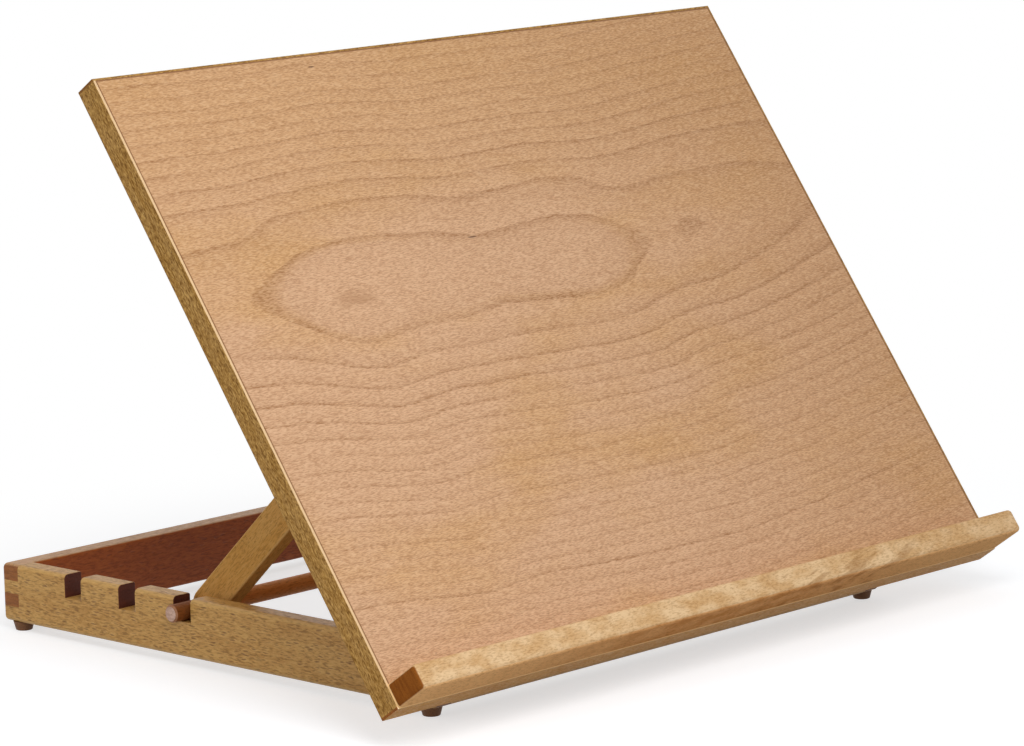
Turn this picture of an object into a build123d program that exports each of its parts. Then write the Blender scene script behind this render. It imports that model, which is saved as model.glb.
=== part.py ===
from build123d import *
from math import acos, atan2, cos, degrees, hypot, radians, sin, sqrt
import os

# A beech table slope: a box-jointed base frame on four feet, a board hinged to its front rail,
# and a strut behind the board whose dowel lies in one of three pairs of notches in the side rails.
# Millimetres. X runs along the board's width, +Y to the rear, +Z up, and the feet stand on Z = 0.

# Board
board_width = 420.0
board_length = 320.0
core_thickness = 11.2
veneer_thickness = 0.6
edging_thickness = 1.2
board_arris_radius = 0.5

# Ledge along the board's bottom edge
ledge_height = 12.0
ledge_depth = 20.5
ledge_arris_radius = 2.2
ledge_screw_count = 4
ledge_screw_spacing = 120.0
ledge_screw_length = 26.0

# Base frame
base_width = 314.0
base_depth = 295.0
rail_height = 28.5
side_rail_thickness = 11.0
cross_rail_thickness = 12.0
joint_divisions = 4
lowest_finger_height = 7.7
finger_height = 6.4
frame_corner_radius = 2.6
rail_outer_arris_radius = 2.4
rail_inner_arris_radius = 1.2

# Feet, each set in from the frame's ends and centred under its side rail
foot_height = 4.5
foot_top_radius = 5.2
foot_bottom_radius = 4.0
foot_edge_radius = 0.6
foot_recess_depth = 2.6
foot_recess_radius = 2.45
foot_front_inset = 7.4
foot_rear_inset = 8.8
foot_screw_length = 14.0

# Notches in the side rails' tops
notch_count = 3
notch_pitch = 38.8
notch_width = 11.5
notch_depth = 11.4
notch_arris_radius = 0.5

# Hinges between the front rail and the board
hinge_side_inset = 57.0
hinge_length = 30.0
hinge_leaf_width = 10.4
hinge_leaf_thickness = 1.2
hinge_knuckle_radius = 2.5
hinge_knuckle_count = 3
hinge_pin_radius = 1.0
hinge_screw_spacing = 18.0
hinge_screw_length = 9.0
hinge_axis_overhang = 1.6
board_overhang = 29.4

# Strut: two legs joined by the dowel
pivot_reach = 107.6
pivot_depth = 10.0
strut_length = 136.6
leg_depth = 17.0
leg_thickness = 10.0
leg_arris_radius = 1.0
leg_rail_gap = 4.5
dowel_radius = 4.25
dowel_overhang = 6.0
dowel_end_chamfer = 0.8

# Blocks on the board's back that carry the strut's pivot screws
block_width = 14.0
block_length = 36.0
block_depth = 18.0
block_arris_radius = 1.5
block_screw_spacing = 24.0
block_screw_length = 26.0
pivot_screw_radius = 2.5
pivot_head_radius = 4.6
pivot_head_height = 2.4
pivot_screw_grip = 10.0
washer_radius = 5.5
washer_thickness = 1.0

# Wood screws share a head and a shank
screw_head_radius = 2.3
screw_shank_radius = 1.2
screw_tip_length = 2.0
screw_slot_width = 0.7
screw_slot_depth = 0.5

# Clearances
fixed_clearance = 0.03
running_clearance = 0.06
knuckle_gap = 0.2
seat_gap = 0.3

# Heights of the frame
rail_bottom = foot_height
rail_top = rail_bottom + rail_height
finger_tops = [
    rail_bottom + lowest_finger_height + step * finger_height for step in range(joint_divisions - 1)
]
finger_levels = [rail_bottom] + finger_tops + [rail_top]

# The hinge axis, measured from the front rail's front face
hinge_y_from_front = -hinge_axis_overhang
hinge_z = rail_top + hinge_knuckle_radius

# The strut's pivot and dowel as seen from the hinge axis. Lying flat, the board holds the leg in line
# with itself and the dowel drops into the rearmost notch, so that notch follows the strut's reach.
dowel_z = rail_top - notch_depth + dowel_radius + seat_gap
pivot_drop = pivot_depth - hinge_knuckle_radius
flat_drop = hinge_z - pivot_drop - dowel_z
rear_notch_reach = pivot_reach + sqrt(strut_length**2 - flat_drop**2)
notch_play = notch_width / 2 - dowel_radius - seat_gap
front_notch_reach = rear_notch_reach - notch_pitch * (notch_count - 1)

# In use the dowel stands against the rear wall of the front notch. The slope follows from the triangle
# of hinge axis, pivot and dowel.
dowel_reach = front_notch_reach + notch_play
dowel_drop = hinge_z - dowel_z
hinge_to_dowel = hypot(dowel_reach, dowel_drop)
hinge_to_pivot = hypot(pivot_reach, pivot_drop)
corner = acos(
    (hinge_to_pivot**2 + hinge_to_dowel**2 - strut_length**2)
    / (2 * hinge_to_pivot * hinge_to_dowel)
)
slope = corner + atan2(pivot_drop, pivot_reach) - atan2(dowel_drop, dowel_reach)
print("slope in degrees", round(degrees(slope), 3))

# How far the ledge's rounded lower corner stands in front of the front rail
board_thickness = core_thickness + 2 * veneer_thickness
edge_reach = hinge_axis_overhang + board_overhang * cos(slope) + hinge_knuckle_radius * sin(slope)
ledge_reach = (
    edge_reach
    + (board_thickness + ledge_depth - ledge_arris_radius) * sin(slope)
    - ledge_arris_radius * cos(slope)
    + ledge_arris_radius
)

# Y = 0 is midway between the ledge's foremost point and the rear rail's back
front_y = (ledge_reach - base_depth) / 2
rear_y = front_y + base_depth
hinge_y = front_y + hinge_y_from_front
dowel_y = hinge_y + dowel_reach
notch_ys = [hinge_y + rear_notch_reach - notch_pitch * step for step in range(notch_count)]
pivot_y = hinge_y + pivot_reach * cos(slope) + pivot_drop * sin(slope)
pivot_z = hinge_z + pivot_reach * sin(slope) - pivot_drop * cos(slope)

# Widths, and the rails' centre lines
side_x = base_width / 2
side_rail_x = side_x - side_rail_thickness / 2
front_rail_y = front_y + cross_rail_thickness / 2
rear_rail_y = rear_y - cross_rail_thickness / 2
rail_inner_x = side_x - side_rail_thickness
leg_outer_x = rail_inner_x - leg_rail_gap
leg_inner_x = leg_outer_x - leg_thickness
block_outer_x = leg_inner_x - washer_thickness
block_inner_x = block_outer_x - block_width

# The board's back face: local X along the width, local Y up the slope, local Z out of the front
board_edge_y = front_y - edge_reach
board_edge_z = hinge_z - board_overhang * sin(slope) + hinge_knuckle_radius * cos(slope)
board_back = Plane(
    origin=(0, board_edge_y, board_edge_z), x_dir=(1, 0, 0), z_dir=(0, -sin(slope), cos(slope))
)
hinge_x_centres = (hinge_side_inset - side_x, side_x - hinge_side_inset)
pivot_up_board = board_overhang + pivot_reach


def local_plane(base, x, y, z, facing):
    """A plane at a point of another plane, facing along that plane's own direction."""
    origin = base.from_local_coords(Vector(x, y, z))
    out = base.from_local_coords(Vector(x, y, z) + Vector(*facing)) - origin
    return Plane(origin=origin, z_dir=out)


def turned(plane, outline):
    """A solid turned about the plane's normal from an outline of radii and heights."""
    with BuildPart() as piece:
        with BuildSketch(Plane(origin=plane.origin, x_dir=plane.x_dir, z_dir=-plane.y_dir)):
            with BuildLine():
                Polyline(outline, close=True)
            make_face()
        revolve(axis=Axis(plane.origin, plane.z_dir))
    return piece.part


def wood_screw(plane, length):
    """A slotted countersunk screw, head flush with the plane and shank into it."""
    cone = screw_head_radius - screw_shank_radius
    body = turned(
        plane,
        [
            (0, 0),
            (screw_head_radius, 0),
            (screw_shank_radius, -cone),
            (screw_shank_radius, screw_tip_length - length),
            (0, -length),
        ],
    )
    with BuildPart() as screw:
        add(body)
        with BuildSketch(plane):
            Rectangle(3 * screw_head_radius, screw_slot_width)
        extrude(amount=-screw_slot_depth, mode=Mode.SUBTRACT)
    return screw.part


def screw_hole(plane, length):
    """The countersunk hole that such a screw fills."""
    cone = screw_head_radius - screw_shank_radius
    return turned(
        plane,
        [
            (0, seat_gap),
            (screw_head_radius + fixed_clearance, seat_gap),
            (screw_head_radius + fixed_clearance, 0),
            (screw_shank_radius + fixed_clearance, -cone),
            (screw_shank_radius + fixed_clearance, -length - fixed_clearance),
            (0, -length - fixed_clearance),
        ],
    )


def as_group(solids):
    """Separate solids as one part."""
    with BuildPart() as group:
        for solid in solids:
            add(solid)
    return group.part


def save(builder, name):
    builder.part.label = name
    export_step(builder.part, f"parts/{name}.step")


os.makedirs("parts", exist_ok=True)

# Screw places
foot_places = {
    "front_left_foot": (-side_rail_x, front_y + foot_front_inset),
    "front_right_foot": (side_rail_x, front_y + foot_front_inset),
    "rear_left_foot": (-side_rail_x, rear_y - foot_rear_inset),
    "rear_right_foot": (side_rail_x, rear_y - foot_rear_inset),
}
foot_screw_planes = [
    Plane(origin=(x, y, foot_recess_depth), z_dir=(0, 0, -1)) for x, y in foot_places.values()
]
hinge_screw_xs = [
    centre + side * hinge_screw_spacing / 2 for centre in hinge_x_centres for side in (-1, 1)
]
base_hinge_screw_planes = [
    Plane(origin=(x, front_rail_y, rail_top + hinge_leaf_thickness))
    for x in hinge_screw_xs
]
board_hinge_screw_up = board_overhang + hinge_axis_overhang + cross_rail_thickness / 2
board_hinge_screw_planes = [
    local_plane(board_back, x, board_hinge_screw_up, -hinge_leaf_thickness, (0, 0, -1))
    for x in hinge_screw_xs
]
ledge_screw_planes = [
    local_plane(
        board_back,
        (index - (ledge_screw_count - 1) / 2) * ledge_screw_spacing,
        ledge_height / 2,
        0,
        (0, 0, -1),
    )
    for index in range(ledge_screw_count)
]
block_centre_xs = [side * (block_inner_x + block_width / 2) for side in (-1, 1)]
block_screw_planes = [
    local_plane(board_back, x, pivot_up_board + up, -block_depth, (0, 0, -1))
    for x in block_centre_xs
    for up in (-block_screw_spacing / 2, block_screw_spacing / 2)
]

foot_screw_holes = as_group([screw_hole(p, foot_screw_length) for p in foot_screw_planes])
base_hinge_holes = as_group([screw_hole(p, hinge_screw_length) for p in base_hinge_screw_planes])
board_hinge_holes = as_group([screw_hole(p, hinge_screw_length) for p in board_hinge_screw_planes])
ledge_screw_holes = as_group([screw_hole(p, ledge_screw_length) for p in ledge_screw_planes])
block_screw_holes = as_group([screw_hole(p, block_screw_length) for p in block_screw_planes])

# The four rails as one rounded frame, from which each rail takes its share
with BuildPart() as frame_blank:
    with BuildSketch(Plane.XY.offset(rail_bottom)):
        with Locations((0, (front_y + rear_y) / 2)):
            Rectangle(base_width, base_depth)
            Rectangle(
                base_width - 2 * side_rail_thickness,
                base_depth - 2 * cross_rail_thickness,
                mode=Mode.SUBTRACT,
            )
    extrude(amount=rail_height)
    upright_edges = frame_blank.edges().filter_by(Axis.Z)
    outer_corners = [edge for edge in upright_edges if abs(edge.center().X) > side_rail_x]
    fillet(outer_corners, frame_corner_radius)
    outer_rims = [face.outer_wire().edges() for face in frame_blank.faces().filter_by(Axis.Z)]
    fillet([edge for rim in outer_rims for edge in rim], rail_outer_arris_radius)
    inner_rims = [face.inner_wires().edges() for face in frame_blank.faces().filter_by(Axis.Z)]
    fillet([edge for rim in inner_rims for edge in rim], rail_inner_arris_radius)


def corner_cells(first):
    """Every second block at the frame's four corners, from the given division up."""
    with BuildPart() as cells:
        for low, high in list(zip(finger_levels, finger_levels[1:]))[first::2]:
            with BuildSketch(Plane.XY.offset(low)):
                for x in (-side_rail_x, side_rail_x):
                    for y in (front_rail_y, rear_rail_y):
                        with Locations((x, y)):
                            Rectangle(side_rail_thickness, cross_rail_thickness)
            extrude(amount=high - low)
    return cells.part


side_rail_cells = corner_cells(0)
cross_rail_cells = corner_cells(1)

# Side rails, whose fingers take the lowest and third divisions, with the notches in their tops
for name, side in (("left_side_rail", -1), ("right_side_rail", 1)):
    with BuildPart() as side_rail:
        with BuildSketch(Plane.XY.offset(rail_bottom)):
            with Locations((side * side_rail_x, (front_y + rear_y) / 2)):
                Rectangle(side_rail_thickness, base_depth)
        extrude(amount=rail_height)
        add(frame_blank.part, mode=Mode.INTERSECT)
        add(cross_rail_cells, mode=Mode.SUBTRACT)
        with BuildSketch(Plane.YZ.offset(side * side_rail_x)):
            for y in notch_ys:
                with Locations((y, rail_top)):
                    Rectangle(notch_width, 2 * notch_depth)
        extrude(amount=side_rail_thickness, both=True, mode=Mode.SUBTRACT)
        notch_edges = side_rail.edges(Select.LAST)
        notch_floor = rail_top - notch_depth
        fillet(
            [
                edge
                for edge in notch_edges
                if edge.center().Z > notch_floor + notch_arris_radius
            ],
            notch_arris_radius,
        )
        add(foot_screw_holes, mode=Mode.SUBTRACT)
    save(side_rail, name)

# Front and rear rails, whose fingers take the second and fourth divisions
for name, y in (("front_rail", front_rail_y), ("rear_rail", rear_rail_y)):
    with BuildPart() as cross_rail:
        with BuildSketch(Plane.XY.offset(rail_bottom)):
            with Locations((0, y)):
                Rectangle(base_width, cross_rail_thickness)
        extrude(amount=rail_height)
        add(frame_blank.part, mode=Mode.INTERSECT)
        add(side_rail_cells, mode=Mode.SUBTRACT)
        add(foot_screw_holes, mode=Mode.SUBTRACT)
        add(base_hinge_holes, mode=Mode.SUBTRACT)
    save(cross_rail, name)

# Feet, tapered towards the table, each with a recess for its screw's head
for name, (x, y) in foot_places.items():
    with BuildPart() as foot:
        add(
            turned(
                Plane(origin=(x, y, 0)),
                [
                    (0, 0),
                    (foot_bottom_radius, 0),
                    (foot_top_radius, foot_height),
                    (0, foot_height),
                ],
            )
        )
        fillet(foot.edges().group_by(Axis.Z)[0], foot_edge_radius)
        with BuildSketch(Plane.XY):
            with Locations((x, y)):
                Circle(foot_recess_radius)
        extrude(amount=foot_recess_depth, mode=Mode.SUBTRACT)
        add(foot_screw_holes, mode=Mode.SUBTRACT)
    save(foot, name)

with BuildPart() as foot_screws:
    for plane in foot_screw_planes:
        add(wood_screw(plane, foot_screw_length))
save(foot_screws, "foot_screws")


def hinge_leaf(axis_plane, own_knuckles, holes):
    """A butt hinge's leaf. Local X is the pin's axis, local Y runs out along the leaf, and the leaf
    lies a knuckle's radius below the axis."""
    knuckle_pitch = hinge_length / hinge_knuckle_count
    clear_y = hinge_knuckle_radius + knuckle_gap
    centres = [
        (index - (hinge_knuckle_count - 1) / 2) * knuckle_pitch
        for index in range(hinge_knuckle_count)
        if index % 2 == own_knuckles
    ]
    with BuildPart() as leaf:
        with BuildSketch(axis_plane.offset(-hinge_knuckle_radius)):
            with Locations((0, (clear_y + hinge_leaf_width) / 2)):
                Rectangle(hinge_length, hinge_leaf_width - clear_y)
            for x in centres:
                with Locations((x, clear_y / 2)):
                    Rectangle(knuckle_pitch - knuckle_gap, clear_y)
        extrude(amount=hinge_leaf_thickness)
        for x in centres:
            end = x - (knuckle_pitch - knuckle_gap) / 2
            knuckle_plane = local_plane(axis_plane, end, 0, 0, (1, 0, 0))
            with BuildSketch(knuckle_plane):
                Circle(hinge_knuckle_radius)
            extrude(amount=knuckle_pitch - knuckle_gap)
        with BuildSketch(local_plane(axis_plane, -hinge_length, 0, 0, (1, 0, 0))):
            Circle(hinge_pin_radius + running_clearance)
        extrude(amount=2 * hinge_length, mode=Mode.SUBTRACT)
        add(holes, mode=Mode.SUBTRACT)
    return leaf


# Front hinges: the base leaves lie on the front rail, the board leaves on the board's back
for side, x in zip(("left", "right"), hinge_x_centres):
    base_axis = Plane(origin=(x, hinge_y, hinge_z))
    board_axis = Plane(
        origin=(x, hinge_y, hinge_z), x_dir=(-1, 0, 0), z_dir=(0, sin(slope), -cos(slope))
    )
    save(hinge_leaf(base_axis, 0, base_hinge_holes), f"{side}_base_hinge_leaf")
    save(hinge_leaf(board_axis, 1, board_hinge_holes), f"{side}_board_hinge_leaf")
    with BuildPart() as hinge_pin:
        with BuildSketch(Plane.YZ.offset(x - hinge_length / 2)):
            with Locations((hinge_y, hinge_z)):
                Circle(hinge_pin_radius)
        extrude(amount=hinge_length)
    save(hinge_pin, f"{side}_hinge_pin")

with BuildPart() as base_hinge_screws:
    for plane in base_hinge_screw_planes:
        add(wood_screw(plane, hinge_screw_length))
save(base_hinge_screws, "base_hinge_screws")

with BuildPart() as board_hinge_screws:
    for plane in board_hinge_screw_planes:
        add(wood_screw(plane, hinge_screw_length))
save(board_hinge_screws, "board_hinge_screws")

# Board: a core between two veneers, inside four solid edgings
panel_width = board_width - 2 * edging_thickness
panel_length = board_length - 2 * edging_thickness
panel_layers = (
    ("back_veneer", 0, veneer_thickness),
    ("board_core", veneer_thickness, core_thickness),
    ("face_veneer", veneer_thickness + core_thickness, veneer_thickness),
)
for name, height, thickness in panel_layers:
    with BuildPart() as layer:
        with BuildSketch(board_back.offset(height)):
            with Locations((0, board_length / 2)):
                Rectangle(panel_width, panel_length)
        extrude(amount=thickness)
        add(board_hinge_holes, mode=Mode.SUBTRACT)
        add(ledge_screw_holes, mode=Mode.SUBTRACT)
        add(block_screw_holes, mode=Mode.SUBTRACT)
    save(layer, name)

# The bottom and top edgings run the full width and the side edgings stand between them
with BuildPart() as edging_blank:
    with BuildSketch(board_back):
        with Locations((0, board_length / 2)):
            Rectangle(board_width, board_length)
            Rectangle(panel_width, panel_length, mode=Mode.SUBTRACT)
    extrude(amount=board_thickness)
    rim_faces = edging_blank.faces().filter_by(Axis((0, 0, 0), board_back.z_dir))
    outer_edges = [face.outer_wire().edges() for face in rim_faces]
    fillet([edge for edges in outer_edges for edge in edges], board_arris_radius)

side_edging_x = (board_width - edging_thickness) / 2
top_edging_y = board_length - edging_thickness / 2
edgings = (
    ("bottom_edging", 0, edging_thickness / 2, board_width, edging_thickness),
    ("top_edging", 0, top_edging_y, board_width, edging_thickness),
    ("left_edging", -side_edging_x, board_length / 2, edging_thickness, panel_length),
    ("right_edging", side_edging_x, board_length / 2, edging_thickness, panel_length),
)
for name, x, y, width, length in edgings:
    with BuildPart() as edging:
        with BuildSketch(board_back):
            with Locations((x, y)):
                Rectangle(width, length)
        extrude(amount=board_thickness)
        add(edging_blank.part, mode=Mode.INTERSECT)
    save(edging, name)

# Ledge, glued to the face at the bottom edge and screwed from behind
with BuildPart() as ledge:
    with BuildSketch(board_back.offset(board_thickness)):
        with Locations((0, ledge_height / 2)):
            Rectangle(board_width, ledge_height)
    extrude(amount=ledge_depth)
    front_face = ledge.faces().sort_by(Axis((0, 0, 0), board_back.z_dir))[-1]
    end_faces = ledge.faces().filter_by(Axis.X)
    arrises = front_face.edges() + end_faces.edges()
    on_board = ledge.faces().sort_by(Axis((0, 0, 0), board_back.z_dir))[0].edges()
    fillet([edge for edge in set(arrises) if edge not in on_board], ledge_arris_radius)
    add(ledge_screw_holes, mode=Mode.SUBTRACT)
save(ledge, "ledge")

with BuildPart() as ledge_screws:
    for plane in ledge_screw_planes:
        add(wood_screw(plane, ledge_screw_length))
save(ledge_screws, "ledge_screws")

# Pivot blocks and the screws on which the legs turn
pivot_hole_depth = pivot_screw_grip + fixed_clearance
for name, side in (("left", -1), ("right", 1)):
    with BuildPart() as block:
        with BuildSketch(board_back):
            with Locations((side * (block_inner_x + block_width / 2), pivot_up_board)):
                Rectangle(block_width, block_length)
        extrude(amount=-block_depth)
        back_face = block.faces().sort_by(Axis((0, 0, 0), board_back.z_dir))[0]
        fillet(back_face.edges(), block_arris_radius)
        with BuildSketch(Plane.YZ.offset(side * block_outer_x)):
            with Locations((pivot_y, pivot_z)):
                Circle(pivot_screw_radius + fixed_clearance)
        extrude(amount=-side * pivot_hole_depth, mode=Mode.SUBTRACT)
        add(block_screw_holes, mode=Mode.SUBTRACT)
    save(block, f"{name}_pivot_block")

    with BuildPart() as pivot_screw:
        head_x = side * (leg_outer_x + seat_gap)
        with BuildSketch(Plane.YZ.offset(head_x)):
            with Locations((pivot_y, pivot_z)):
                Circle(pivot_head_radius)
        extrude(amount=side * pivot_head_height)
        head_rim = pivot_screw.edges().filter_by(GeomType.CIRCLE).sort_by(Axis.X)
        fillet(head_rim[-1] if side > 0 else head_rim[0], pivot_head_height / 2)
        with BuildSketch(Plane.YZ.offset(head_x)):
            with Locations((pivot_y, pivot_z)):
                Circle(pivot_screw_radius)
        extrude(amount=side * (block_outer_x - pivot_screw_grip) - head_x, dir=(1, 0, 0))
        with BuildSketch(Plane.YZ.offset(head_x + side * pivot_head_height)):
            with Locations((pivot_y, pivot_z)):
                Rectangle(3 * pivot_head_radius, 2 * screw_slot_width)
        extrude(amount=-side * 2 * screw_slot_depth, mode=Mode.SUBTRACT)
    save(pivot_screw, f"{name}_pivot_screw")

with BuildPart() as block_screws:
    for plane in block_screw_planes:
        add(wood_screw(plane, block_screw_length))
save(block_screws, "block_screws")

# Strut: round-ended legs, the washers beside them and the dowel through both
leg_tilt = atan2(dowel_z - pivot_z, dowel_y - pivot_y)
for name, side in (("left_leg", -1), ("right_leg", 1)):
    inner_plane = Plane(
        origin=(side * (leg_inner_x + leg_thickness / 2), pivot_y, pivot_z),
        x_dir=(0, cos(leg_tilt), sin(leg_tilt)),
        z_dir=(1, 0, 0),
    )
    with BuildPart() as leg:
        with BuildSketch(inner_plane):
            with Locations((strut_length / 2, 0)):
                SlotCenterToCenter(strut_length, leg_depth)
        extrude(amount=leg_thickness / 2, both=True)
        fillet(leg.faces().filter_by(Axis.X).edges(), leg_arris_radius)
        with BuildSketch(inner_plane):
            Circle(pivot_screw_radius + running_clearance)
            with Locations((strut_length, 0)):
                Circle(dowel_radius + fixed_clearance)
        extrude(amount=leg_thickness, both=True, mode=Mode.SUBTRACT)
    save(leg, name)

with BuildPart() as strut_washers:
    for side in (-1, 1):
        with BuildSketch(Plane.YZ.offset(side * (leg_inner_x - washer_thickness / 2))):
            with Locations((pivot_y, pivot_z)):
                Circle(washer_radius)
                Circle(pivot_screw_radius + running_clearance, mode=Mode.SUBTRACT)
        extrude(amount=washer_thickness / 2, both=True)
save(strut_washers, "strut_washers")

with BuildPart() as cross_dowel:
    with BuildSketch(Plane.YZ):
        with Locations((dowel_y, dowel_z)):
            Circle(dowel_radius)
    extrude(amount=side_x + dowel_overhang, both=True)
    chamfer(cross_dowel.edges().filter_by(GeomType.CIRCLE), dowel_end_chamfer)
save(cross_dowel, "cross_dowel")
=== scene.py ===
import math

import bmesh
import bpy
from mathutils import Matrix, Vector


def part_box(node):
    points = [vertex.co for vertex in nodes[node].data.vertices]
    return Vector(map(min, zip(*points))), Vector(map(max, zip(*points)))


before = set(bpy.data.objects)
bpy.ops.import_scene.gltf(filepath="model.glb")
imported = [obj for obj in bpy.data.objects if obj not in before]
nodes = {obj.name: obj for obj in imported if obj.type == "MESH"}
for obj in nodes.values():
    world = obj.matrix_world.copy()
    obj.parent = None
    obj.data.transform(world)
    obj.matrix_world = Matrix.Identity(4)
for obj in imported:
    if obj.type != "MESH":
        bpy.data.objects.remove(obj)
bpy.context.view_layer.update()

# A beech table slope in use: the board stands on its strut in the front notches, on a pale floor.
# Lengths are in metres unless a name says otherwise.
mm = 0.001


def srgb(red, green, blue):
    """A colour as a screen shows it, from 0 to 255, as the linear values that a shader takes."""
    shares = [value / 255 for value in (red, green, blue)]
    return (*[s / 12.92 if s <= 0.04045 else ((s + 0.055) / 1.055) ** 2.4 for s in shares], 1)


# Camera
picture_width_px = 1024
focal_length_px = 4479.2
sensor_width_mm = 36.0
view_azimuth = math.radians(46.276)
view_elevation = math.radians(9.604)
view_roll = math.radians(-1.337)
view_distance = 2.18151
view_centre = Vector((25.87 * mm, -1.64 * mm, 118.56 * mm))

# Light
ambient_strength = 0.46
backdrop_strength = 1.0
key_place = Vector((-0.55, -0.85, 0.9))
key_size = 0.7
key_power = 9.0
side_place = Vector((-2.1, 0.4, 0.7))
side_size = 1.4
side_power = 4.0
light_target = Vector((0, 0, 0.12))

# Floor: it glows a little, and turns plain white away from the object
floor_half_width = 6.0
floor_roughness = 0.9
floor_lift = 0.61
floor_middle = Vector((0, -0.08, 0))
floor_near_radius = 0.26
floor_far_radius = 0.52
floor_seen = srgb(190, 192, 196)
floor_bounce = srgb(192, 192, 193)

# Board frame, read from the veneers: its back's lowest edge and its slope
largest_face = max(nodes["face_veneer"].data.polygons, key=lambda polygon: polygon.area)
slope = math.atan2(abs(largest_face.normal.y), abs(largest_face.normal.z))
up_slope = Vector((0, math.cos(slope), math.sin(slope)))
edging_low, edging_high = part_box("left_edging")
edging_thickness = edging_high.x - edging_low.x
veneer_low_corner = min((v.co for v in nodes["back_veneer"].data.vertices), key=lambda co: co.z)
board_edge = Vector((0, veneer_low_corner.y, veneer_low_corner.z)) - edging_thickness * up_slope
board_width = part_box("top_edging")[1].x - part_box("top_edging")[0].x
panel_half_width = board_width / 2 - edging_thickness
heights = [v.co.dot(up_slope) for v in nodes["back_veneer"].data.vertices]
panel_half_length = (max(heights) - min(heights)) / 2
board_length = 2 * (panel_half_length + edging_thickness)
outward = Vector((0, -math.sin(slope), math.cos(slope)))
board_thickness = max((v.co - board_edge).dot(outward) for v in nodes["face_veneer"].data.vertices)


def middle(name):
    low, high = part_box(name)
    return (low + high) / 2


# Strut frame: local X runs from the pivot to the dowel
pivot = middle("left_pivot_screw")
dowel = middle("cross_dowel")
strut_tilt = math.atan2(dowel.z - pivot.z, dowel.y - pivot.y)
quarter_turn = math.pi / 2


# Solid beech: its colours, then its marks, with their sizes along and across the grain. The arris and
# rim amounts are painted highlights. A side's painted light and shade is the axis and sense that a side
# faces in the piece's own frame, the way its colour is laid on, and the colour: painted shade on sides
# that face away from the light, painted highlight on lit ones
rail_wood = dict(
    body=srgb(190, 140, 68),
    pale=srgb(202, 154, 82),
    light=srgb(224, 180, 106),
    dark=srgb(104, 62, 14),
    end=srgb(158, 96, 42),
    end_dark=srgb(116, 64, 24),
    side_light_and_shade=(),
    arris_highlight_amount=0.4,
    cloud_size=(70 * mm, 10 * mm, 10 * mm),
    wave_size=(7 * mm, 3 * mm, 3 * mm),
    wave_reach=1.8 * mm,
    fibre_size=(4.4 * mm, 0.8 * mm, 0.8 * mm),
    fibre_amount=0.52,
    fleck_size=(7 * mm, 1.4 * mm),
    fleck_amount=0.55,
    rim_highlight_amount=0.36,
    roughness=(0.39, 0.53),
    gloss=0.4,
    relief=0.16 * mm,
)
# Painted shade: the walls of the notches that face the front are darkened, for the shadow deep in the
# notches
side_rail_wood = dict(rail_wood, side_light_and_shade=((0, -1, "MULTIPLY", srgb(150, 124, 188)),))
rear_rail_wood = dict(
    rail_wood,
    body=srgb(184, 132, 76),
    pale=srgb(196, 144, 92),
    # Painted shade: the rear rail's inner face, in the board's shadow, darker and redder
    side_light_and_shade=((1, -1, "MULTIPLY", srgb(228, 160, 96)),),
    arris_highlight_amount=0.1,
    fibre_amount=0.4,
    fleck_amount=0.3,
    rim_highlight_amount=0.1,
)
leg_wood = dict(
    rail_wood,
    body=srgb(208, 154, 82),
    pale=srgb(216, 164, 94),
    light=srgb(232, 188, 122),
    end=srgb(152, 100, 54),
    end_dark=srgb(118, 72, 36),
    arris_highlight_amount=0.6,
    wave_reach=1.2 * mm,
    fibre_size=(4 * mm, 0.6 * mm, 0.6 * mm),
    fibre_amount=0.3,
    fleck_size=(3 * mm, 0.7 * mm),
    fleck_amount=0.3,
    rim_highlight_amount=0.15,
    gloss=0.0,
)
dowel_wood = dict(
    leg_wood,
    body=srgb(214, 140, 74),
    pale=srgb(222, 150, 84),
    light=srgb(230, 162, 98),
    end=srgb(222, 188, 170),
    end_dark=srgb(176, 136, 116),
    arris_highlight_amount=0.0,
    fleck_amount=0.2,
    # Painted shade: the dowel's tips, out in the notches, darker
    tip_start=0.142,
    tip_shade=srgb(158, 142, 134),
    gloss=0.1,
)
ledge_wood = dict(
    rail_wood,
    body=srgb(206, 164, 114),
    pale=srgb(228, 194, 150),
    light=srgb(240, 208, 164),
    dark=srgb(150, 104, 60),
    end=srgb(146, 86, 34),
    end_dark=srgb(118, 64, 26),
    # Painted shade: the ledge's underside darker
    side_light_and_shade=((1, -1, "MULTIPLY", srgb(255, 224, 192)),),
    arris_highlight_amount=0.0,
    # Painted highlight: a bright line along the ledge's joint with the board's bottom edge
    joint_height=board_thickness + 0.5 * mm,
    joint_highlight=srgb(255, 208, 144),
    streak_turn=math.radians(13),
    streak_middle=78 * mm,
    streak_reach=64 * mm,
    # Painted light: the ledge's underside lighter towards its ends, where more light reaches under it
    lit_under_ends=srgb(242, 218, 176),
    under_middle=30 * mm,
    under_reach=board_width * 0.4,
    cloud_size=(16 * mm, 9 * mm, 9 * mm),
    wave_reach=1.6 * mm,
    fibre_size=(2.4 * mm, 0.7 * mm, 0.7 * mm),
    fibre_amount=0.36,
    fleck_size=(3 * mm, 0.8 * mm),
    fleck_amount=0.1,
    rim_highlight_amount=0.1,
    gloss=0.0,
)
edging_wood = dict(
    rail_wood,
    body=srgb(166, 123, 62),
    pale=srgb(176, 135, 77),
    dark=srgb(104, 66, 22),
    end=srgb(146, 102, 54),
    end_dark=srgb(116, 74, 36),
    arris_highlight_amount=0.0,
    cloud_size=(22 * mm, 5 * mm, 5 * mm),
    wave_reach=1.2 * mm,
    fibre_size=(2.6 * mm, 0.7 * mm, 0.7 * mm),
    fibre_amount=0.72,
    fleck_size=(3 * mm, 0.8 * mm),
    fleck_amount=0.6,
    rim_highlight_amount=0.2,
    gloss=0.05,
)
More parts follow.
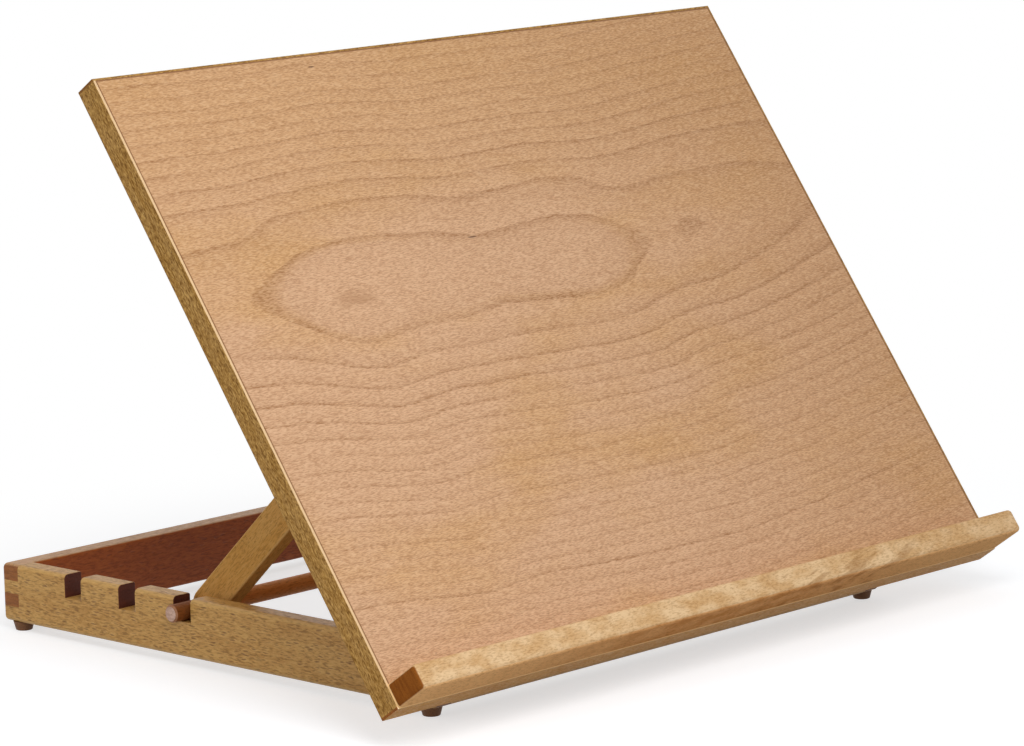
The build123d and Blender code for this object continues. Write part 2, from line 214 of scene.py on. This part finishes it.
# Painted highlight: the left edging's front strip lighter
left_edging_wood = dict(edging_wood, side_light_and_shade=((2, 1, "MIX", srgb(228, 194, 150)),))
bottom_edging_wood = dict(
    edging_wood,
    body=srgb(190, 132, 50),
    pale=srgb(198, 142, 60),
    # Painted highlight: this light colour, the front face's tone and the large arris amount draw bright
    # lines along the bottom edging
    light=srgb(255, 226, 180),
    end=srgb(158, 96, 46),
    side_light_and_shade=((2, 1, "MIX", srgb(255, 226, 180)),),
    arris_highlight_amount=0.9,
    fibre_amount=0.2,
    fleck_amount=0.2,
)
back_wood = dict(
    rail_wood,
    body=srgb(206, 156, 104),
    pale=srgb(214, 166, 116),
    wave_reach=1.2 * mm,
    fibre_amount=0.3,
    fleck_amount=0.4,
    rim_highlight_amount=0.15,
)

# What all solid beech shares. A band is the two values between which a mark grows from nothing to
# its full strength
cloud_band = (0.36, 0.66)
fibre_roughness = 0.6
dark_fibre_band = (0.5, 0.64)
light_fibre_band = (0.47, 0.34)
light_fibre_share = 0.7
streak_size = (26 * mm, 2.4 * mm, 9 * mm)
streak_band = (0.52, 0.64)
streak_full_share = 0.6
streak_amount = 0.4
fleck_chance_band = (0.2, 0.75)
fleck_band = (0.34, 0.16)
# Painted highlight: the light rim around each fleck
rim_highlight_outer_band = (0.6, 0.42)
rim_highlight_inner_band = (0.28, 0.38)
end_facing_band = (0.6, 0.85)
end_ring_size = (20 * mm, 9 * mm, 1.4 * mm)
end_ring_band = (0.4, 0.62)
end_ring_amount = 0.5
pore_size = (2 * mm, 0.5 * mm, 0.5 * mm)
pore_band = (0.5, 0.68)
pore_amount = 0.6
# Painted light and shade: the highlights along arrises, the light and shade of whole sides, the lighter
# ends of the ledge's underside, the highlight along the ledge's joint and the shade on the dowel's tips
arris_highlight_band = (1.12, 1.36)
side_facing_band = (0.5, 0.8)
under_facing_band = (-0.5, -0.8)
lit_under_amount = 0.85
joint_highlight_band = (0.75 * mm, 0.45 * mm)
tip_fade = 6 * mm
roughness_band = (0.3, 0.7)
end_roughness = 0.15
fibre_height = 0.5
fleck_depth = 0.7

# Face veneer: its colours
face_tan = srgb(204, 157, 106)
face_pink = srgb(210, 166, 129)
# The deeper colour to the right: partly the veneer's own tone, partly painted shade
face_deep_shade = srgb(192, 143, 94)
face_light = srgb(232, 196, 156)
face_line = srgb(150, 102, 58)
face_fleck = srgb(132, 86, 46)
face_mark = srgb(84, 48, 24)

# Face veneer: its marks, on the board's own axes, x to the right and up along the slope
patch_size = (130 * mm, 45 * mm, 45 * mm)
patch_band = (0.3, 0.58)
pink_top = 0.3
pink_full = 0.2
pink_least = 0.3
# Deeper and darker to the right: partly the veneer's own tone, partly painted shade where the sheen on the
# left falls off
deep_shade_start = -0.02
deep_shade_full = 0.21
deep_shade_amount = 0.55
mottle_size = (16 * mm, 4 * mm, 4 * mm)
mottle_band = (0.42, 0.66)
mottle_amount = 0.07
face_wave_size = (9 * mm, 3 * mm, 3 * mm)
face_wave_reach = 0.8 * mm
face_fibre_size = (2.5 * mm, 0.34 * mm, 0.34 * mm)
face_dark_fibre_band = (0.5, 0.62)
face_light_fibre_band = (0.47, 0.36)
face_dark_fibre_amount = 0.42
face_light_fibre_amount = 0.34
face_fleck_size = (3 * mm, 0.6 * mm)
face_fleck_chance_band = (0.2, 0.85)
face_fleck_band = (0.34, 0.14)
face_fleck_amount = 0.42
shade_amount = 0.16
line_amount = 0.34
line_fibre_amount = 0.56
glue_start = 0.9 * mm
glue_full = 0.5 * mm
glue_amount = 0.9
face_roughness = (0.4, 0.54)
face_gloss = 0.35
face_relief = 0.1 * mm
face_fibre_height = 0.6
face_fleck_depth = 0.4

# Face veneer: the figure that its growth lines draw, in millimetres, with stops from the board's left
# end to its right
figure_middle = 195.0
figure_middle_rise = 16.0
eye_radius = 60.0
cut_depth = 1550.0
ring_spacing = 6.3
ring_count = 24
first_ring_shift = 0.5
upper_ring_shift = 3.4
upper_ring_band = (28.0, 44.0)
eye_band = (1.05, 0.7)
line_wave_size = (75 * mm, 24 * mm, 24 * mm)
line_wave = 3.6
line_ripple_size = (8 * mm, 2.5 * mm, 2.5 * mm)
line_ripple = 2.0
line_rise_band = (0.76, 0.93)
line_fall_band = (1.0, 0.96)
line_fade_size = (45 * mm, 9 * mm, 9 * mm)
line_fade_band = (0.34, 0.6)
line_least = 0.4
shade_rise_band = (0.15, 0.9)
shade_fall_band = (1.0, 0.94)
middle_rise_stops = [
    (0.0, 0.32),
    (0.06, 0.3),
    (0.13, 0.14),
    (0.2, 0.04),
    (0.29, 0.2),
    (0.36, 0.1),
    (0.43, 0.0),
    (0.64, 0.0),
    (0.78, 0.3),
    (1.0, 1.0),
]
cut_depth_stops = [
    (0.0, 0.53),
    (0.062, 0.471),
    (0.095, 0.412),
    (0.124, 0.318),
    (0.16, 0.15),
    (0.19, 0.048),
    (0.219, 0.003),
    (0.286, 0.074),
    (0.362, 0.123),
    (0.429, 0.233),
    (0.495, 0.181),
    (0.571, 0.1235),
    (0.629, 0.238),
    (0.667, 0.4),
    (0.705, 0.478),
    (0.73, 0.478),
    (0.765, 0.44),
    (0.8, 0.46),
    (0.84, 0.52),
    (0.9, 0.63),
    (1.0, 0.9),
]
ring_strengths = (
    0, 0.9, 0.75, 0.9, 0.9, 0.7, 0.75, 0.5, 0.7, 0.6,
    0.5, 0.65, 0.45, 0.55, 0.45, 0.6, 0.5, 1, 0.5,
)
ring_strength_stops = [(ring / ring_count, strength) for ring, strength in enumerate(ring_strengths)]
heart_middle = (-121, 192)
heart_reach = (17, 6)
heart_band = (0.3, 0.6)
heart_amounts = (0.1, 0.36)
dark_marks = (((-31.2, 213.2), (3.6, 0.55)), ((-78.2, 312.5), (2.4, 0.5)))
dark_mark_amount = 0.8
ellipse_full_share = 0.15

# Feet and brass
foot_dark = srgb(98, 60, 30)
foot_pale = srgb(128, 84, 46)
foot_speckle_size = (0.4 * mm, 0.4 * mm, 0.4 * mm)
foot_roughness = 0.62
foot_relief = 0.05 * mm
brass_pale = srgb(200, 165, 95)
brass_dark = srgb(176, 140, 78)
brass_smudge_size = (3 * mm, 3 * mm, 3 * mm)
brass_roughness = (0.28, 0.42)
speckle_band = (0.35, 0.7)


class Field:
    """A value that varies over a surface. Arithmetic on it adds Math nodes."""

    def __init__(self, recipe, socket):
        self.recipe = recipe
        self.socket = socket

    def __add__(self, other):
        return self.recipe.math("ADD", self, other)

    def __radd__(self, other):
        return self.recipe.math("ADD", other, self)

    def __sub__(self, other):
        return self.recipe.math("SUBTRACT", self, other)

    def __rsub__(self, other):
        return self.recipe.math("SUBTRACT", other, self)

    def __mul__(self, other):
        return self.recipe.math("MULTIPLY", self, other)

    def __rmul__(self, other):
        return self.recipe.math("MULTIPLY", other, self)

    def __truediv__(self, other):
        return self.recipe.math("DIVIDE", self, other)

    def __rtruediv__(self, other):
        return self.recipe.math("DIVIDE", other, self)

    def __abs__(self):
        return self.recipe.math("ABSOLUTE", self)


class Recipe:
    """A node tree, and the one way in which its nodes are made."""

    def __init__(self, tree):
        self.tree = tree

    def node(self, kind, settings=None, sockets=None, output=0):
        made = self.tree.nodes.new(kind)
        for name, value in (settings or {}).items():
            if name == "stops":
                self.set_stops(made.color_ramp, value)
            else:
                setattr(made, name, value)
        for key, value in (sockets or {}).items():
            self.feed(made.inputs[key], value)
        return Field(self, made.outputs[output]) if made.outputs else made

    def set_stops(self, ramp, stops):
        while len(ramp.elements) < len(stops):
            ramp.elements.new(0.5)
        for element, (position, colour) in zip(ramp.elements, stops):
            element.position = position
            element.color = colour if hasattr(colour, "__len__") else (colour, colour, colour, 1)

    def feed(self, socket, value):
        if isinstance(value, Field):
            self.tree.links.new(value.socket, socket)
        else:
            socket.default_value = value

    def math(self, operation, *values):
        return self.node("ShaderNodeMath", {"operation": operation}, dict(enumerate(values)))

    def vector(self, operation, *values, output=0):
        return self.node("ShaderNodeVectorMath", {"operation": operation}, dict(enumerate(values)), output)

    def step(self, value, start, end, low=0.0, high=1.0):
        """A smooth rise or fall from low, where the value is start, to high, where it is end."""
        return self.node(
            "ShaderNodeMapRange",
            {"interpolation_type": "SMOOTHSTEP"},
            {"Value": value, "From Min": start, "From Max": end, "To Min": low, "To Max": high},
        )

    def mix(self, amount, first, second, blend="MIX"):
        return self.node(
            "ShaderNodeMix",
            {"data_type": "RGBA", "blend_type": blend},
            {0: amount, 6: first, 7: second},
            output=2,
        )

    def ramp(self, stops, value):
        return self.node("ShaderNodeValToRGB", {"stops": stops}, {"Fac": value})

    def noise(self, place, sizes, detail=2.0, roughness=0.5, output=0):
        """Noise whose features are about as long as the given sizes along the place's own axes."""
        scaled = self.vector("MULTIPLY", place, [1 / size for size in sizes])
        return self.node(
            "ShaderNodeTexNoise",
            {"noise_dimensions": "3D"},
            {"Vector": scaled, "Scale": 1.0, "Detail": detail, "Roughness": roughness},
            output,
        )

    def wavering(self, place, sizes, reach):
        """The place, moved to and fro across the grain, so that marks drawn from it waver."""
        wave = self.noise(place, sizes, output="Color")
        return self.vector("MULTIPLY_ADD", wave, (0, reach, reach), place)

    def marks(self, place, length, width):
        """Short marks along the grain: how near each point is to one, and each mark's own chance."""
        spread = self.vector("MULTIPLY", place, (1 / length, 1 / width, 1 / width))
        near = self.node("ShaderNodeTexVoronoi", sockets={"Vector": spread, "Scale": 1.0})
        own = self.node("ShaderNodeTexVoronoi", sockets={"Vector": spread, "Scale": 1.0}, output="Color")
        return near, self.node("ShaderNodeSeparateXYZ", sockets={0: own}, output="X")


class Finish(Recipe):
    """A material, with its shader and the object's own coordinates."""

    def __init__(self, name):
        self.material = bpy.data.materials.new(name)
        self.material.use_nodes = True
        super().__init__(self.material.node_tree)
        self.shader = self.tree.nodes["Principled BSDF"]
        self.object_place = self.node("ShaderNodeTexCoord", output="Object")
        self.object_normal = self.node("ShaderNodeTexCoord", output="Normal")

    def place(self, origin, turn):
        """Coordinates measured from a point along axes turned by the given angles."""
        return self.node(
            "ShaderNodeMapping",
            {"vector_type": "TEXTURE"},
            {"Vector": self.object_place, "Location": origin, "Rotation": turn},
        )

    def turned(self, vector, turn):
        """A place or a direction, seen along axes turned by the given angles."""
        return self.node(
            "ShaderNodeMapping", {"vector_type": "TEXTURE"}, {"Vector": vector, "Rotation": turn}
        )

    def parts(self, vector):
        """A vector's three coordinates."""
        return [self.node("ShaderNodeSeparateXYZ", sockets={0: vector}, output=axis) for axis in "XYZ"]

    def set(self, **values):
        for name, value in values.items():
            self.feed(self.shader.inputs[name.replace("_", " ")], value)

    def bump(self, height, distance):
        return self.node(
            "ShaderNodeBump", sockets={"Strength": 1.0, "Distance": distance, "Height": height}
        )

    def apply(self, *names):
        """Puts the material on whole pieces."""
        for name in names:
            nodes[name].data.materials.clear()
            nodes[name].data.materials.append(self.material)


def beech(name, origin, turn, wood):
    """Solid beech whose grain runs along the local X axis, with its short dark flecks and, where the
    surface cuts across the grain, its darker end."""
    finish = Finish(name)
    place = finish.place(origin, turn)
    along = finish.parts(place)[0]
    direction = finish.parts(finish.turned(finish.object_normal, turn))
    facing = [abs(part) for part in direction]

    cloud = finish.noise(place, wood["cloud_size"], detail=3)
    colour = finish.mix(finish.step(cloud, *cloud_band), wood["body"], wood["pale"])
    # Painted light: the underside lighter towards its ends
    if "lit_under_ends" in wood:
        underneath = finish.step(direction[1], *under_facing_band)
        outer = finish.step(abs(along), wood["under_middle"], wood["under_reach"])
        colour = finish.mix(underneath * outer * lit_under_amount, colour, wood["lit_under_ends"])

    # Fibres, first the dark ones and then the light ones between them
    grain = finish.wavering(place, wood["wave_size"], wood["wave_reach"])
    fibre = finish.noise(grain, wood["fibre_size"], detail=2, roughness=fibre_roughness)
    fibre_amount = wood["fibre_amount"]
    dark_fibre = finish.step(fibre, *dark_fibre_band, 0.0, fibre_amount)
    light_fibre = finish.step(fibre, *light_fibre_band, 0.0, fibre_amount * light_fibre_share)
    colour = finish.mix(dark_fibre, colour, wood["dark"])
    colour = finish.mix(light_fibre, colour, wood["light"])

    # Streaks where the grain runs out through the surface at a slant
    if "streak_turn" in wood:
        slant = finish.turned(place, (0, 0, wood["streak_turn"]))
        streak = finish.step(finish.noise(slant, streak_size, detail=2), *streak_band)
        away = abs(along - wood["streak_middle"])
        reach = wood["streak_reach"]
        streak = streak * finish.step(away, reach, reach * streak_full_share)
        colour = finish.mix(streak * streak_amount, colour, wood["dark"])

    # Flecks, each with its own strength and a light rim that is a painted highlight
    near, chance = finish.marks(grain, *wood["fleck_size"])
    strength = finish.step(chance, *fleck_chance_band)
    rim_highlight = finish.step(near, *rim_highlight_outer_band) * finish.step(near, *rim_highlight_inner_band) * strength
    colour = finish.mix(rim_highlight * wood["rim_highlight_amount"], colour, wood["light"])
    fleck = finish.step(near, *fleck_band) * strength
    colour = finish.mix(fleck * wood["fleck_amount"], colour, wood["dark"])

    # End grain: rings, with pores in them
    end_share = finish.step(facing[0], *end_facing_band)
    rings = finish.step(finish.noise(place, end_ring_size), *end_ring_band, 0.0, end_ring_amount)
    pores = finish.step(finish.noise(place, pore_size, detail=3), *pore_band, 0.0, pore_amount)
    end_colour = finish.mix(rings, wood["end"], wood["end_dark"])
    end_colour = finish.mix(pores, end_colour, wood["end_dark"])
    colour = finish.mix(end_share, colour, end_colour)

    # Painted light and shade: highlights along the long arrises, light and shade on sides that face a
    # given way, a highlight along a joint, and shade on the dowel's tips
    arris_highlight = finish.step(facing[1] + facing[2], *arris_highlight_band)
    colour = finish.mix(arris_highlight * wood["arris_highlight_amount"], colour, wood["light"])
    for axis, sense, blend, painted_light in wood["side_light_and_shade"]:
        share = finish.step(direction[axis] * sense, *side_facing_band)
        colour = finish.mix(share, colour, painted_light, blend)
    if "joint_height" in wood:
        away = abs(finish.parts(place)[2] - wood["joint_height"])
        colour = finish.mix(finish.step(away, *joint_highlight_band), colour, wood["joint_highlight"])
    if "tip_start" in wood:
        shaded_tip = finish.step(abs(along), wood["tip_start"], wood["tip_start"] + tip_fade) * (1 - end_share)
        colour = finish.mix(shaded_tip, colour, wood["tip_shade"], "MULTIPLY")

    rough = finish.step(fibre, *roughness_band, *wood["roughness"])
    finish.set(Base_Color=colour, Roughness=rough + end_share * end_roughness)
    finish.set(Specular_IOR_Level=wood["gloss"])
    finish.set(Normal=finish.bump(fibre * fibre_height - fleck * fleck_depth, wood["relief"]))
    return finish


def ellipse(finish, x, up, centre, reach):
    """1 at an ellipse's middle and 0 at its edge and beyond. Lengths are in millimetres."""
    across = (x / mm - centre[0]) / reach[0]
    rise = (up / mm - centre[1]) / reach[1]
    return finish.step(across * across + rise * rise, 1.0, ellipse_full_share)


def figure_offset(finish, place, x, up):
    """Height above the figure's own middle line, in millimetres, unsteady as a real ring is."""
    rise = finish.ramp(middle_rise_stops, x / board_width + 0.5)
    wave = finish.noise(place, line_wave_size, detail=2) - 0.5
    ripple = finish.noise(place, line_ripple_size, detail=2) - 0.5
    middle_line = figure_middle + rise * figure_middle_rise
    return up / mm - middle_line + wave * line_wave + ripple * line_ripple


def growth_lines(finish, place, x, up):
    """The growth lines of the face veneer: the rings that a slicing knife meets, drawn out along the
    grain, with a closed eye where it grazes one. Gives the lines, the soft shade that leads up to
    each, and the inside of the eye."""
    depth = finish.ramp(cut_depth_stops, x / board_width + 0.5)
    offset = figure_offset(finish, place, x, up)
    radius = finish.math("SQRT", eye_radius**2 + offset * offset + depth * cut_depth)
    upper = finish.step(offset, *upper_ring_band)
    index = (radius - eye_radius + first_ring_shift - upper * upper_ring_shift) / ring_spacing
    phase = index - finish.math("FLOOR", index)
    strength = finish.ramp(ring_strength_stops, index / ring_count)
    fade = finish.step(finish.noise(place, line_fade_size, detail=2), *line_fade_band, line_least, 1.0)
    line = finish.step(phase, *line_rise_band) * finish.step(phase, *line_fall_band)
    shade = finish.step(phase, *shade_rise_band) * finish.step(phase, *shade_fall_band)
    return line * strength * fade, shade * strength, finish.step(index, *eye_band)


def face_beech():
    finish = Finish("face_beech")
    place = finish.place(board_edge, (slope, 0, 0))
    x, up = finish.parts(place)[:2]
    line, shade, eye = growth_lines(finish, place, x, up)
    patch = finish.noise(place, patch_size, detail=3)
    mottle = finish.noise(place, mottle_size, detail=3)
    grain = finish.wavering(place, face_wave_size, face_wave_reach)
    fibre = finish.noise(grain, face_fibre_size, detail=1)
    dark_fibre = finish.step(fibre, *face_dark_fibre_band)
    light_fibre = finish.step(fibre, *face_light_fibre_band)

    # Pink in patches and in the eye, deeper and darker to the right, partly the veneer's own tone and
    # partly painted shade, then the fibres and the growth lines
    pink = finish.step(patch, *patch_band) * finish.step(up, pink_top, pink_full, pink_least, 1.0)
    colour = finish.mix(finish.math("MAXIMUM", pink, eye), face_tan, face_pink)
    colour = finish.mix(finish.step(x, deep_shade_start, deep_shade_full, 0.0, deep_shade_amount), colour, face_deep_shade)
    colour = finish.mix(finish.step(mottle, *mottle_band, 0.0, mottle_amount), colour, face_line)
    colour = finish.mix(shade * shade_amount, colour, face_line)
    colour = finish.mix(dark_fibre * face_dark_fibre_amount, colour, face_line)
    colour = finish.mix(light_fibre * face_light_fibre_amount, colour, face_light)
    colour = finish.mix(line * (line_amount + dark_fibre * line_fibre_amount), colour, face_line)

    # Flecks, fine and of uneven strength
    near, chance = finish.marks(grain, *face_fleck_size)
    fleck = finish.step(near, *face_fleck_band) * finish.step(chance, *face_fleck_chance_band)
    colour = finish.mix(fleck * face_fleck_amount, colour, face_fleck)

    # A darker heart in the eye, and two short dark marks
    heart = ellipse(finish, x, up, heart_middle, heart_reach)
    colour = finish.mix(heart * finish.step(mottle, *heart_band, *heart_amounts), colour, face_line)
    marks = sum(ellipse(finish, x, up, centre, reach) for centre, reach in dark_marks)
    colour = finish.mix(marks * dark_mark_amount, colour, face_mark)

    # The glue line along the edgings
    aside = finish.step(abs(x), panel_half_width - glue_start, panel_half_width - glue_full)
    from_middle = abs(up - board_length / 2)
    above = finish.step(from_middle, panel_half_length - glue_start, panel_half_length - glue_full)
    colour = finish.mix(finish.math("MAXIMUM", aside, above) * glue_amount, colour, face_fleck)

    finish.set(Base_Color=colour, Roughness=finish.step(fibre, *roughness_band, *face_roughness))
    finish.set(Specular_IOR_Level=face_gloss)
    finish.set(Normal=finish.bump(fibre * face_fibre_height - fleck * face_fleck_depth, face_relief))
    finish.apply("face_veneer")


def dress_wood():
    """Each piece is cut from its own place in the log, so that no two show the same pattern."""
    lengthways = (0, 0, 0)
    front_to_back = (0, 0, quarter_turn)
    along_board = (slope, 0, 0)
    up_board = (Matrix.Rotation(slope, 3, "X") @ Matrix.Rotation(quarter_turn, 3, "Z")).to_euler()
    along_leg = (Matrix.Rotation(strut_tilt, 3, "X") @ Matrix.Rotation(quarter_turn, 3, "Z")).to_euler()
    cuts = (
        ("left_side_rail", side_rail_wood, front_to_back, (-0.157, 0, 0)),
        ("right_side_rail", side_rail_wood, front_to_back, (0.3, 0.1, 0)),
        ("front_rail", rail_wood, lengthways, (0, 0.07, 0.2)),
        ("rear_rail", rear_rail_wood, lengthways, (0.1, 0.02, 0.3)),
        ("left_leg", leg_wood, along_leg, pivot),
        ("right_leg", leg_wood, along_leg, pivot + Vector((0.1, 0, 0))),
        ("cross_dowel", dowel_wood, lengthways, dowel),
        ("left_pivot_block", leg_wood, up_board, board_edge),
        ("right_pivot_block", leg_wood, up_board, board_edge + Vector((0.2, 0, 0))),
        ("ledge", ledge_wood, along_board, board_edge),
        ("top_edging", edging_wood, along_board, board_edge),
        ("bottom_edging", bottom_edging_wood, along_board, board_edge),
        ("left_edging", left_edging_wood, up_board, board_edge),
        ("right_edging", edging_wood, up_board, board_edge),
        ("board_core", rail_wood, along_board, board_edge),
        ("back_veneer", back_wood, along_board, board_edge),
    )
    for piece, wood, turn, origin in cuts:
        beech(f"{piece}_beech", origin, turn, wood).apply(piece)


def dress_feet():
    finish = Finish("dark_rubber")
    speckle = finish.noise(finish.object_place, foot_speckle_size, detail=2)
    colour = finish.mix(finish.step(speckle, *speckle_band), foot_dark, foot_pale)
    finish.set(Base_Color=colour, Roughness=foot_roughness)
    finish.set(Normal=finish.bump(speckle, foot_relief))
    finish.apply("front_left_foot", "front_right_foot", "rear_left_foot", "rear_right_foot")


def dress_brass():
    finish = Finish("plain_brass")
    smudge = finish.noise(finish.object_place, brass_smudge_size, detail=3)
    colour = finish.mix(finish.step(smudge, *speckle_band), brass_pale, brass_dark)
    finish.set(Base_Color=colour, Metallic=1.0)
    finish.set(Roughness=finish.step(smudge, *roughness_band, *brass_roughness))
    brass_words = ("hinge", "screw", "washer")
    finish.apply(*[name for name in nodes if any(word in name for word in brass_words)])


def place_camera():
    backwards = Vector(
        (
            -math.sin(view_azimuth) * math.cos(view_elevation),
            -math.cos(view_azimuth) * math.cos(view_elevation),
            math.sin(view_elevation),
        )
    )
    level = (-backwards).cross(Vector((0, 0, 1))).normalized()
    upright = level.cross(-backwards)
    right = math.cos(view_roll) * level + math.sin(view_roll) * upright
    up = math.cos(view_roll) * upright - math.sin(view_roll) * level
    camera = bpy.data.objects.new("camera", bpy.data.cameras.new("camera"))
    camera.data.sensor_width = sensor_width_mm
    camera.data.sensor_fit = "HORIZONTAL"
    camera.data.lens = focal_length_px / picture_width_px * sensor_width_mm
    camera.matrix_world = Matrix.Translation(view_centre + view_distance * backwards) @ (
        Matrix((right, up, backwards)).transposed().to_4x4()
    )
    bpy.context.scene.collection.objects.link(camera)
    bpy.context.scene.camera = camera


def place_lamp(name, place, size, power):
    lamp = bpy.data.lights.new(name, "AREA")
    lamp.shape = "DISK"
    lamp.size = size
    lamp.energy = power
    holder = bpy.data.objects.new(name, lamp)
    holder.location = place
    holder.rotation_euler = (place - light_target).to_track_quat("Z", "Y").to_euler()
    bpy.context.scene.collection.objects.link(holder)


def seen_directly(recipe):
    """1 for the rays that should meet the white background, 0 for those that light the object."""
    camera = recipe.node("ShaderNodeLightPath", output="Is Camera Ray")
    glossy = recipe.node("ShaderNodeLightPath", output="Is Glossy Ray")
    through = recipe.node("ShaderNodeLightPath", output="Is Transmission Ray")
    return recipe.math("MINIMUM", camera + glossy + through, 1.0)


def light_room():
    world = bpy.data.worlds.new("studio")
    world.use_nodes = True
    bpy.context.scene.world = world
    recipe = Recipe(world.node_tree)
    background = world.node_tree.nodes["Background"]
    background.inputs["Color"].default_value = (1, 1, 1, 1)
    lit = seen_directly(recipe)
    strength = ambient_strength + lit * (backdrop_strength - ambient_strength)
    recipe.feed(background.inputs["Strength"], strength)
    place_lamp("key", key_place, key_size, key_power)
    place_lamp("side", side_place, side_size, side_power)


def lay_floor():
    shape = bmesh.new()
    bmesh.ops.create_grid(shape, x_segments=1, y_segments=1, size=floor_half_width)
    mesh = bpy.data.meshes.new("floor")
    shape.to_mesh(mesh)
    shape.free()
    floor = bpy.data.objects.new("floor", mesh)
    bpy.context.scene.collection.objects.link(floor)
    finish = Finish("pale_floor")
    distance = finish.vector("DISTANCE", finish.object_place, floor_middle, output=1)
    seen = seen_directly(finish)
    white = (1, 1, 1, 1)
    floor_colour = finish.mix(seen, floor_bounce, floor_seen)
    finish.set(Base_Color=floor_colour, Roughness=floor_roughness)
    plain = Field(finish, finish.shader.outputs[0])
    glow = finish.node("ShaderNodeEmission", sockets={"Color": white, "Strength": 1.0})
    lift = finish.node("ShaderNodeEmission", sockets={"Color": white, "Strength": floor_lift})
    lifted = finish.node("ShaderNodeAddShader", sockets={0: plain, 1: lift})
    near = finish.node("ShaderNodeMixShader", sockets={0: seen, 1: plain, 2: lifted})
    far = finish.step(distance, floor_near_radius, floor_far_radius)
    blended = finish.node("ShaderNodeMixShader", sockets={0: far * seen, 1: near, 2: glow})
    finish.feed(finish.tree.nodes["Material Output"].inputs["Surface"], blended)
    mesh.materials.append(finish.material)


bpy.context.scene.view_settings.view_transform = "Standard"
place_camera()
light_room()
lay_floor()
face_beech()
dress_wood()
dress_feet()
dress_brass()
